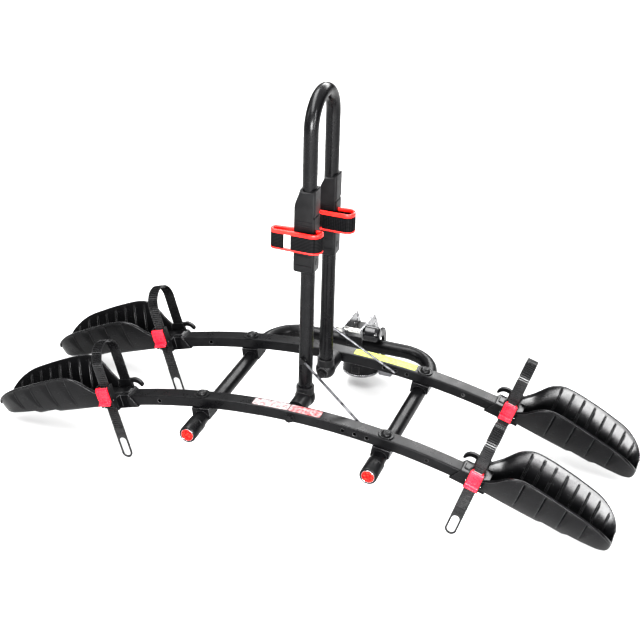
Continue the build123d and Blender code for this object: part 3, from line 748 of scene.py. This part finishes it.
def holderRing(z, low, high):
    ends = min(z, holder["tall"] - z)
    pull = holder["pull"] * max(0.0, 1 - ends / holder["pullOver"]) ** 2
    lean = holder["lean"] * smoothStep(holder["leanFrom"], holder["tall"], z)
    x0, x1 = low.x / mm + pull + lean, high.x / mm - pull
    halfX, halfY = (x1 - x0) / 2, (high.y - low.y) / 2 / mm - pull
    centreX, centreY = (x0 + x1) / 2, (low.y + high.y) / 2
    scale = (high.z - low.z) / holder["tall"]
    sunk = holder["dish"] * smoothStep(holder["dishFrom"], holder["dishTo"], z)
    ring = []
    for x, y in roundedRect(halfX, halfY, holder["corner"], 7):
        if holder["notch"][0] <= z <= holder["notch"][1] and x > halfX - holder["notchBand"]:
            x -= holder["notchDeep"]
        dip = sunk * (1 - min(abs(centreX + x) / holder["dishHalf"], 1) ** 2)
        level = low.z + (z - dip * (1 if y < 0 else holder["dishBehind"])) * scale
        ring.append(Vector(((centreX + x) * mm, centreY + y * mm, level)))
    return ring


def buildHolder(row):
    low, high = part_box(f"{row}_frame_holder")
    body = skin([holderRing(z, low, high) for z in holder["levels"]])
    # a screw boss low on the outer side and pinch ribs across the front
    bossAt = (high.x - holder["bossIn"] * mm, (low.y + high.y) / 2, low.z + holder["bossUp"] * mm)
    boss = lathe(inMm(holder["boss"]), bossAt, (1, 0, 0), 36)

    def facing(a, b, level):
        return Vector((a * mm, level * mm, low.z + b * mm))

    front, left, right = low.y / mm, low.x / mm, high.x / mm
    ribs = []
    for z in holder["ribs"]:
        top = z + holder["ribTall"]
        outline = [(left + 6, z), (right - 5, z), (right - 6, top), (left + 7, top)]
        ribs.append(prism(outline, front - holder["ribOut"], front + holder["ribIn"], facing))
    makePiece(f"{row}_holder_body", [body, boss, *ribs], f"{row}_holder", "holder_plastic",
              [f"{row}_frame_holder"], smooth=34)


loops = {
    "front": {"left": -70, "right": 32, "near": -29.5, "far": (-13, -4), "radii": (7.5, 18, 6, 7.5),
              "window": (-44, -27), "backFrom": 1},     # open behind, below its top rim
    "rear": {"left": -32, "right": 57, "near": -29.5, "far": (-8, 2), "radii": (8.5, 14, 14, 8.5),
             "window": (-25, -6), "backFrom": 0},
}
loopRims = {"low": 4.0, "top": 8.0, "steps": 9}


def roundedPath(points, radii):
    # closed, counterclockwise; each point out is (x, y, outward x, outward y)
    out = []
    count, steps = len(points), loopRims["steps"]
    for k in range(count):
        here = Vector(points[k])
        before = (here - Vector(points[k - 1])).normalized()
        after = (Vector(points[(k + 1) % count]) - here).normalized()
        turn = before.angle(after)
        start = here - before * radii[k] * math.tan(turn / 2)
        centre = start + Vector((-before.y, before.x)) * radii[k]
        first = math.atan2(-before.x, before.y)
        for j in range(steps + 1):
            a = first + turn * j / steps
            out.append((centre.x + radii[k] * math.cos(a), centre.y + radii[k] * math.sin(a),
                        math.cos(a), math.sin(a)))
    return out


def loopPath(row):
    # from the holder's left side round the left end, along the near side, and back to its right side
    shape = loops[row]
    low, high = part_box(f"{row}_frame_holder")
    outline = [(shape["left"], shape["near"]), (shape["right"], shape["near"]),
               (shape["right"], shape["far"][1]), (shape["left"], shape["far"][0])]
    ring = roundedPath(outline, shape["radii"])
    each = loopRims["steps"] + 1
    nearLeft, nearRight, farRight, farLeft = (ring[each * k:each * (k + 1)] for k in range(4))
    slope = (shape["far"][1] - shape["far"][0]) / (shape["right"] - shape["left"])
    normal = Vector((-slope, 1)).normalized()

    def onFar(x):
        return x, shape["far"][0] + slope * (x - shape["left"]), normal.x, normal.y

    startX, stopX = nearLeft[-1][0], nearRight[0][0]
    marks = sorted({lerp(startX, stopX, k / 10) for k in range(1, 10)} | set(map(float, shape["window"])))
    near = [(x, shape["near"], 0.0, -1.0) for x in marks]
    return [onFar(low.x / mm)] + farLeft + nearLeft + near + nearRight + farRight + [onFar(high.x / mm)]


def buildLoop(row):
    low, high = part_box(f"{row}_rubber_loop")
    holderLow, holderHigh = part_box(f"{row}_frame_holder")
    legY = (holderLow.y + holderHigh.y) / 2
    path = loopPath(row)
    # the band leaves a window on the near side, between these two places on the path
    gapFrom, gapTo = (next(k for k, p in enumerate(path) if p[3] < -0.99 and abs(p[0] - edge) < 0.01)
                      for edge in loops[row]["window"])

    def sweep(outline, points):
        return skin([[Vector(((x + ox * t) * mm, legY + (y + oy * t) * mm, z)) for t, z in outline]
                     for x, y, ox, oy in points])

    top, bottom = high.z, low.z
    wallLow, wallTop = bottom + loopRims["low"] * mm, top - loopRims["top"] * mm
    rimTop = [(-3.0, top - 6 * mm), (-3.0, top - 1.6 * mm), (-2.4, top - 0.5 * mm), (-1.2, top), (1.2, top),
              (2.4, top - 0.5 * mm), (3.0, top - 1.8 * mm), (3.0, wallTop + 0.9 * mm), (2.4, wallTop),
              (-2.4, wallTop)]
    rimLow = [(-3.0, bottom + 0.9 * mm), (-2.2, bottom), (2.0, bottom), (3.0, bottom + 1.0 * mm),
              (3.0, wallLow - 0.8 * mm), (2.3, wallLow), (-3.0, wallLow)]
    backFrom = loops[row]["backFrom"]
    makePiece(f"{row}_rubber_cradle", [sweep(rimTop, path), sweep(rimLow, path[backFrom:])],
              f"{row}_holder", "rubber_red", [f"{row}_rubber_loop"], smooth=40)
    band = [(-2.9, wallLow - 0.4 * mm), (2.2, wallLow - 0.4 * mm), (2.7, wallLow + 1.0 * mm),
            (2.8, (wallLow + wallTop) / 2), (2.7, wallTop - 1.0 * mm), (2.2, wallTop + 0.4 * mm),
            (-2.9, wallTop + 0.4 * mm)]
    makePiece(f"{row}_webbing_band", [sweep(band, path[backFrom:gapFrom + 1]), sweep(band, path[gapTo:])],
              f"{row}_holder", "band_webbing", [f"{row}_loop_band"], smooth=40)


for row in rows:
    buildHolder(row)
    buildLoop(row)
print("holders and loops done")


# reflectors, end caps and bolts
lamp = {
    "lens": 13.2, "ring": 14.6, "cell": 2.7, "dome": (2.2, 0.9),
    # the cap: (past its radius, along it from the rail), then (past its radius, before its end)
    "capFoot": [(-2.4, 0), (-0.6, 0), (0, 0.8), (0, 13), (-0.7, 13.6), (-0.7, 15.2), (0, 15.8)],
    "capEnd": [(0, 2.2), (-0.7, 0.8), (-1.8, 0.1)],
    "capMouth": [(0.6, 0), (0, 0.6), (-0.2, 4)],          # past the chrome ring
    "rim": [(0, 2.6), (0, 1.4), (-0.5, 0.7)],             # past the ring's radius
    "seat": [(0.3, 0.7), (0, 1.2), (0, 2.6)],             # past the lens' radius
    "glass": [(0, 4.0), (0, 1.6), (-0.4, 1.2), (-0.9, 1.3)],
}


def around(radius, offsets, end=None):
    return [(radius + a * mm, b * mm if end is None else end - b * mm) for a, b in offsets]


def prismCell(centre, a, b, cell):
    turns = [math.radians(30 + 60 * k) for k in range(6)]
    rim = [centre + Vector((a + cell * 0.577 * math.cos(turn), lamp["dome"][0] * mm,
                            b + cell * 0.577 * math.sin(turn))) for turn in turns]
    peak = centre + Vector((a, lamp["dome"][1] * mm, b))
    return rim + [peak], [(k, (k + 1) % 6, 6) for k in range(6)] + [(5, 4, 3, 2, 1, 0)]


def buildLamps():
    low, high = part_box("rear_reflectors")
    capLow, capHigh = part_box("frame_end_caps")
    capR = (capHigh.z - capLow.z) / 2
    length = capHigh.y - capLow.y
    lens, ring, cell = lamp["lens"] * mm, lamp["ring"] * mm, lamp["cell"] * mm
    capProfile = (around(capR, lamp["capFoot"]) + around(capR, lamp["capEnd"], length)
                  + around(ring, lamp["capMouth"], length))
    ringProfile = around(ring, lamp["rim"]) + around(lens, lamp["seat"])
    caps, lenses, rings = [], [], []
    for x in (capLow.x + capR, capHigh.x - capR):
        centre = Vector((x, low.y, (low.z + high.z) / 2))
        caps.append(lathe(capProfile, Vector((x, capHigh.y, centre.z)), (0, -1, 0), 64))
        rings.append(lathe(ringProfile, centre, (0, 1, 0), 64))
        lenses.append(lathe(around(lens, lamp["glass"]), centre, (0, 1, 0), 64))
        lenses += [prismCell(centre, a, b, cell) for a, b in hexGrid(lens - 0.4 * mm, cell)]
    makePiece("frame_tube_caps", caps, "frame", "cap_plastic", ["frame_end_caps"], smooth=36)
    makePiece("reflector_rims", rings, "frame", "chrome_plate", smooth=36)
    makePiece("red_reflectors", lenses, "frame", "reflector_red", ["rear_reflectors"], smooth=20)


def hexSocket(size):
    step = math.pi / 3

    def shape(r, a):
        if r > size * 1.25:
            return r
        return r * math.cos(step / 2) / math.cos((a % step) - step / 2)

    return shape


railBolt = {
    "across": 200, "tubeDrop": 60.7, "socket": 4.4,
    "washer": [(6, 0.05), (16.4, 0.05), (17, 0.6), (17, 1.6), (16.3, 2.5), (14.6, 2.5), (14.0, 1.8),
               (6, 1.8)],
    "dome": [(3, 1.2), (11, 1.6), (11, 3.4), (10.4, 5.2), (9.0, 6.9), (7.0, 8.1), (5.2, 8.5), (4.4, 8.4),
             (4.1, 7.9), (4.1, 4.4), (0.4, 3.8)],
}
pivotBolt = {
    "tall": 8, "socket": 3.7,
    "head": [(3, 0.05), (10, 0.05), (10.4, 0.6), (10.4, 1.8), (9.8, 2.4), (7.6, 2.5), (7.6, 5.6), (6.6, 7.2),
             (5.2, 7.9), (3.9, 8.0), (3.5, 7.6), (3.5, 4.4), (0.4, 4.0)],
}


def buildBolts():
    boltArc = rail["arc"] * math.atan2(railBolt["across"] * mm, rail["arc"] - railBolt["tubeDrop"] * mm)
    socket = hexSocket(railBolt["socket"] * mm)
    washers, heads = [], []
    for row in rows:
        for sign in (-1, 1):
            base = onRail(boltArc, railY[row], sign)
            up = base.to_3x3() @ Vector((0, 0, 1))
            washers.append(lathe(inMm(railBolt["washer"]), base.translation, up, 56))
            heads.append(lathe(inMm(railBolt["dome"]), base.translation, up, 60, socket))
    makePiece("rail_bolt_washers", washers, "frame", "fastener_black", ["bolt_washers"], smooth=36)
    makePiece("rail_dome_bolts", heads, "frame", "fastener_black", smooth=30)
    low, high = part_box("pivot_bolts")
    socket = hexSocket(pivotBolt["socket"] * mm)
    sides = []
    for y, sign in ((low.y, -1), (high.y, 1)):
        centre = Vector((0, y - sign * pivotBolt["tall"] * mm, (low.z + high.z) / 2))
        sides.append(lathe(inMm(pivotBolt["head"]), centre, (0, sign, 0), 60, socket))
    makePiece("pivot_bolt_heads", sides, "frame", "fastener_black", smooth=30)


buildLamps()
buildBolts()


# blank stickers on the rails' top faces: rail, from and to along it, from and to across it, finish
stickers = [("front", -88, -8, -12.5, 12.5, "label_white"), ("front", -6, 64, -12.5, 12.5, "label_red"),
            ("rear", 43, 187, -11, 13, "label_yellow")]
stickerFilm = {"low": 0.04, "high": 0.22, "steps": 24, "endIn": 1.6, "nextIn": 0.5, "slant": 0.1}


def buildSticker(number, row, start, stop, left, right, colour):
    rings = []
    steps, low, high, slant = (stickerFilm[key] for key in ("steps", "low", "high", "slant"))
    for k in range(steps + 1):
        s = lerp(start, stop, k / steps) * mm
        base = onRail(abs(s), railY[row], 1 if s >= 0 else -1)
        fromEnd = min(k, steps - k)            # the corners are clipped at each end
        shrink = stickerFilm["endIn"] if fromEnd == 0 else stickerFilm["nextIn"] if fromEnd == 1 else 0
        ring = [(left + shrink, low), (right - shrink, low), (right - shrink - slant, high),
                (left + shrink + slant, high)]
        rings.append([base @ Vector((0, v * mm, n * mm)) for v, n in ring])
    makePiece(f"{row}_rail_sticker_{number}", [skin(rings)], "frame", "frame_paint", finish=colour, smooth=25)


for number, sticker in enumerate(stickers):
    buildSticker(number, *sticker)
print("lamps, bolts and stickers done")


# finishes on the frame's own nodes
nodeFinish = {"clamp_jaw": "cast_black"}       # the jaw gets its housing's black cast finish in place of its own zinc slot, so it shows dark
slots = {part["node"]: part["material_slot"] for part in frame["record"]["subparts"]}
for name, obj in frame["nodes"].items():
    obj.data.materials.clear()
    obj.data.materials.append(finishes[nodeFinish.get(name, slots[name])])


# floor, lights and camera
def buildFloor():
    mat = bpy.data.materials.new("floor")
    mat.use_nodes = True
    shader = mat.node_tree.nodes["Principled BSDF"]
    shader.inputs["Roughness"].default_value = 0.9
    shader.inputs["Specular IOR Level"].default_value = 0.1
    tree = mat.node_tree
    cloud = noiseOn(tree, 2.0, 2.0)
    tint = mixColour(tree, cloud, (0.50, 0.50, 0.50), (0.53, 0.53, 0.53))
    tree.links.new(tint, shader.inputs["Base Color"])
    reach, level = 9.0, cadBox[0].z
    square = [(x * reach, y * reach, level) for x, y in ((-1, -1), (1, -1), (1, 1), (-1, 1))]
    mesh = bpy.data.meshes.new("floor")
    mesh.from_pydata(square, [], [(0, 1, 2, 3)])
    floor = bpy.data.objects.new("floor", mesh)
    scene.collection.objects.link(floor)
    mesh.materials.append(mat)
    floor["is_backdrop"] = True


def addLight(name, position, target, size, power):
    data = bpy.data.lights.new(name, "AREA")
    data.shape = "RECTANGLE"
    data.size, data.size_y = size
    data.energy = power
    lamp = bpy.data.objects.new(name, data)
    scene.collection.objects.link(lamp)
    lamp.location = position
    lamp.rotation_mode = "QUATERNION"
    lamp.rotation_quaternion = (Vector(target) - Vector(position)).to_track_quat("-Z", "Y")


# the sky is dim at the horizon and bright above
studio = {"heights": (0.12, 0.85), "glow": (0.12, 1.2), "backdrop": 0.9}


def buildWorld():
    world = bpy.data.worlds.new("studio")
    world.use_nodes = True
    tree = world.node_tree
    ground = tree.nodes["Background"]
    coords = node(tree, "ShaderNodeTexCoord")
    split = node(tree, "ShaderNodeSeparateXYZ")
    tree.links.new(coords.outputs["Generated"], split.inputs["Vector"])
    bright = remap(tree, split.outputs["Z"], *studio["heights"], *studio["glow"])
    seen = node(tree, "ShaderNodeLightPath").outputs["Is Camera Ray"]     # the backdrop itself stays pale
    lit = combine(tree, "MULTIPLY", bright, combine(tree, "SUBTRACT", 1.0, seen))
    shown = combine(tree, "MULTIPLY", seen, studio["backdrop"])
    ground.inputs["Color"].default_value = (1, 1, 1, 1)
    tree.links.new(combine(tree, "ADD", lit, shown), ground.inputs["Strength"])
    scene.world = world


buildFloor()
buildWorld()
# place, target, size and power of each lamp
lights = {
    "overhead": ((-0.6, -0.6, 2.5), (-0.1, -0.4, 0.1), (3.4, 1.0), 110),
    "backBox": ((0.2, 3.0, 2.2), (0, -0.3, 0.1), (3.0, 1.0), 90),
    "frontBox": ((1.25, -3.4, 1.0), (0.6, -0.45, 0.05), (1.7, 1.2), 230),
    "leftStrip": ((-2.6, -1.4, 1.9), (0, -0.3, 0.4), (0.4, 1.8), 16),
    "mastStrip": ((2.4, -1.6, 1.3), (0, -0.3, 0.45), (0.3, 2.0), 60),
}
for name, (place, target, size, power) in lights.items():
    addLight(name, place, target, size, power)

view = {"place": (0.9508, -2.9791, 1.8232), "azimuth": 19.5523, "elevation": 28.9281, "roll": 1.607,
        "lens": 85.62, "sensor": 36}


def buildCamera():
    data = bpy.data.cameras.new("camera")
    data.lens = view["lens"]
    data.sensor_width = view["sensor"]
    camera = bpy.data.objects.new("camera", data)
    scene.collection.objects.link(camera)
    a, e, r = (math.radians(view[key]) for key in ("azimuth", "elevation", "roll"))
    back = Vector((math.sin(a) * math.cos(e), -math.cos(a) * math.cos(e), math.sin(e)))
    flat = Vector((math.cos(a), math.sin(a), 0))
    rise = back.cross(flat)
    right = flat * math.cos(r) + rise * math.sin(r)
    up = rise * math.cos(r) - flat * math.sin(r)
    turn = Matrix((right, up, back)).transposed()
    camera.matrix_world = Matrix.Translation(view["place"]) @ turn.to_4x4()
    scene.camera = camera


buildCamera()
scene.view_settings.view_transform = "Standard"
scene.view_settings.look = "High Contrast"
print("stage done")

size = {"cad": [list(corner) for corner in cadBox], "visual": [list(corner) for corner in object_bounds()]}
